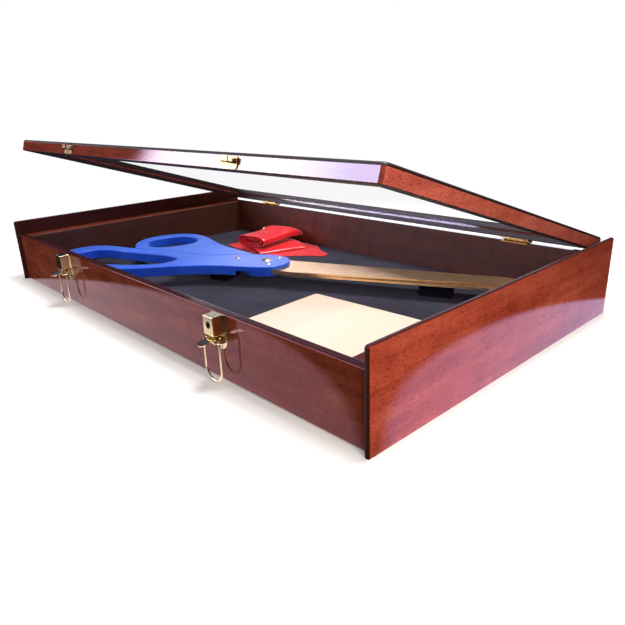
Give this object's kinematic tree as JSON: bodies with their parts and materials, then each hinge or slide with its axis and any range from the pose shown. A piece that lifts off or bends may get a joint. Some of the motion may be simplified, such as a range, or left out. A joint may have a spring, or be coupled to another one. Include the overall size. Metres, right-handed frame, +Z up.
{
  "type": "scissors display case",
  "caption": "Shallow wooden display case with a hinged glazed lid and keyed latches, holding ceremonial scissors, a folded ribbon and a bare plate on dark lining.",
  "frame": {"origin": "middle of the underside that the case stands on", "axes": "+X along the front, towards the right side seen from the front; +Y from the front to the hinged back; +Z up"},
  "size_m": [0.711, 0.4357, 0.2055],
  "materials": {
    "case_wood": "red-brown mahogany under a high-gloss clear lacquer",
    "base_wood": "thin plywood, satin",
    "lining_felt": "dark grey felt over board and foam, matte",
    "lid_glass": "clear, polished",
    "hinge_brass": "polished",
    "latch_metal": "pale gold plating, polished",
    "handle_plastic": "smooth gloss moulding",
    "blade_gold": "gold plating on steel, satin bright",
    "ribbon_satin": "satin weave, soft sheen",
    "bead_metal": "polished",
    "plate_coating": "cream coated sheet, satin"
  },
  "bodies": {
    "case": {"side_panel_left": "case_wood", "side_panel_right": "case_wood", "front_rail": "case_wood", "back_rail": "case_wood", "side_rail_left": "case_wood", "side_rail_right": "case_wood", "base_board": "base_wood", "lining": "lining_felt", "handle_support": "lining_felt", "blade_support": "lining_felt", "presentation_plate": "plate_coating", "case_hinge_leaf_left": "hinge_brass", "case_hinge_leaf_right": "hinge_brass", "hinge_pin_left": "hinge_brass", "hinge_pin_right": "hinge_brass", "case_hinge_screws": "hinge_brass", "latch_plate_left": "latch_metal", "latch_plate_right": "latch_metal", "lock_box_left": "latch_metal", "lock_box_right": "latch_metal", "lever_pin_left": "latch_metal", "lever_pin_right": "latch_metal", "latch_screws": "latch_metal"},
    "lid": {"lid_front_rail": "case_wood", "lid_back_rail": "case_wood", "lid_side_rail_left": "case_wood", "lid_side_rail_right": "case_wood", "lid_pane": "lid_glass", "lid_hinge_leaf_left": "hinge_brass", "lid_hinge_leaf_right": "hinge_brass", "lid_hinge_screws": "hinge_brass", "strike_left": "latch_metal", "strike_right": "latch_metal", "strike_screws": "latch_metal"},
    "scissors_finger_half": {"scissors_finger_handle": "handle_plastic", "scissors_upper_blade": "blade_gold", "scissors_upper_rivets": "blade_gold", "scissors_pivot_screw": "blade_gold", "scissors_pivot_nut": "blade_gold"},
    "scissors_thumb_half": {"scissors_thumb_handle": "handle_plastic", "scissors_lower_blade": "blade_gold", "scissors_lower_rivets": "blade_gold"},
    "ribbon": {"ribbon_tail": "ribbon_satin", "ribbon_fold": "ribbon_satin", "ribbon_roll": "ribbon_satin", "ribbon_bead": "bead_metal"},
    "plug_left": {"lock_plug_left": "latch_metal"},
    "lever_left": {"latch_lever_left": "latch_metal"},
    "bail_pivot_left": {"bail_pin_left": "latch_metal"},
    "bail_loop_left": {"bail_left": "latch_metal"},
    "plug_right": {"lock_plug_right": "latch_metal"},
    "lever_right": {"latch_lever_right": "latch_metal"},
    "bail_pivot_right": {"bail_pin_right": "latch_metal"},
    "bail_loop_right": {"bail_right": "latch_metal"}
  },
  "joints": [
    {"name": "lid_hinge", "type": "hinge", "parent": "case", "child": "lid", "pos_m": [0, 0.2055, 0.07], "axis": [-1, 0, 0], "range_deg": [-17.68, 87.7]},
    {"name": "scissors_lift", "type": "slide", "parent": "case", "child": "scissors_finger_half", "axis": [0, 0, 1], "range_m": [0, 0.025]},
    {"name": "scissors_pivot", "type": "hinge", "parent": "scissors_finger_half", "child": "scissors_thumb_half", "pos_m": [-0.0207, 0.0078, 0.0345], "axis": [0, 0, -1], "range_deg": [0, 8]},
    {"name": "ribbon_lift", "type": "slide", "parent": "case", "child": "ribbon", "axis": [0, 0, 1], "range_m": [0, 0.025]},
    {"name": "plug_turn_left", "type": "hinge", "parent": "case", "child": "plug_left", "pos_m": [-0.172, -0.203, 0.0595], "axis": [0, 1, 0], "range_deg": [0, 90]},
    {"name": "lever_fold_left", "type": "hinge", "parent": "case", "child": "lever_left", "pos_m": [-0.172, -0.208, 0.045], "axis": [1, 0, 0], "range_deg": [0, 75]},
    {"name": "bail_level_left", "type": "hinge", "parent": "lever_left", "child": "bail_pivot_left", "pos_m": [-0.172, -0.2138, 0.04345], "axis": [1, 0, 0], "range_deg": [-75, 0]},
    {"name": "bail_swing_left", "type": "hinge", "parent": "bail_pivot_left", "child": "bail_loop_left", "pos_m": [-0.172, -0.2138, 0.04345], "axis": [-1, 0, 0], "range_deg": [0, 187.37]},
    {"name": "plug_turn_right", "type": "hinge", "parent": "case", "child": "plug_right", "pos_m": [0.172, -0.203, 0.0595], "axis": [0, 1, 0], "range_deg": [0, 90]},
    {"name": "lever_fold_right", "type": "hinge", "parent": "case", "child": "lever_right", "pos_m": [0.172, -0.208, 0.045], "axis": [1, 0, 0], "range_deg": [0, 75]},
    {"name": "bail_level_right", "type": "hinge", "parent": "lever_right", "child": "bail_pivot_right", "pos_m": [0.172, -0.2138, 0.04345], "axis": [1, 0, 0], "range_deg": [-75, 0]},
    {"name": "bail_swing_right", "type": "hinge", "parent": "bail_pivot_right", "child": "bail_loop_right", "pos_m": [0.172, -0.2138, 0.04345], "axis": [-1, 0, 0], "range_deg": [0, 187.37]}
  ],
  "couplings": [
    {"joint": "bail_level_left", "follows": "lever_fold_left", "ratio": -1},
    {"joint": "bail_level_right", "follows": "lever_fold_right", "ratio": -1}
  ]
}
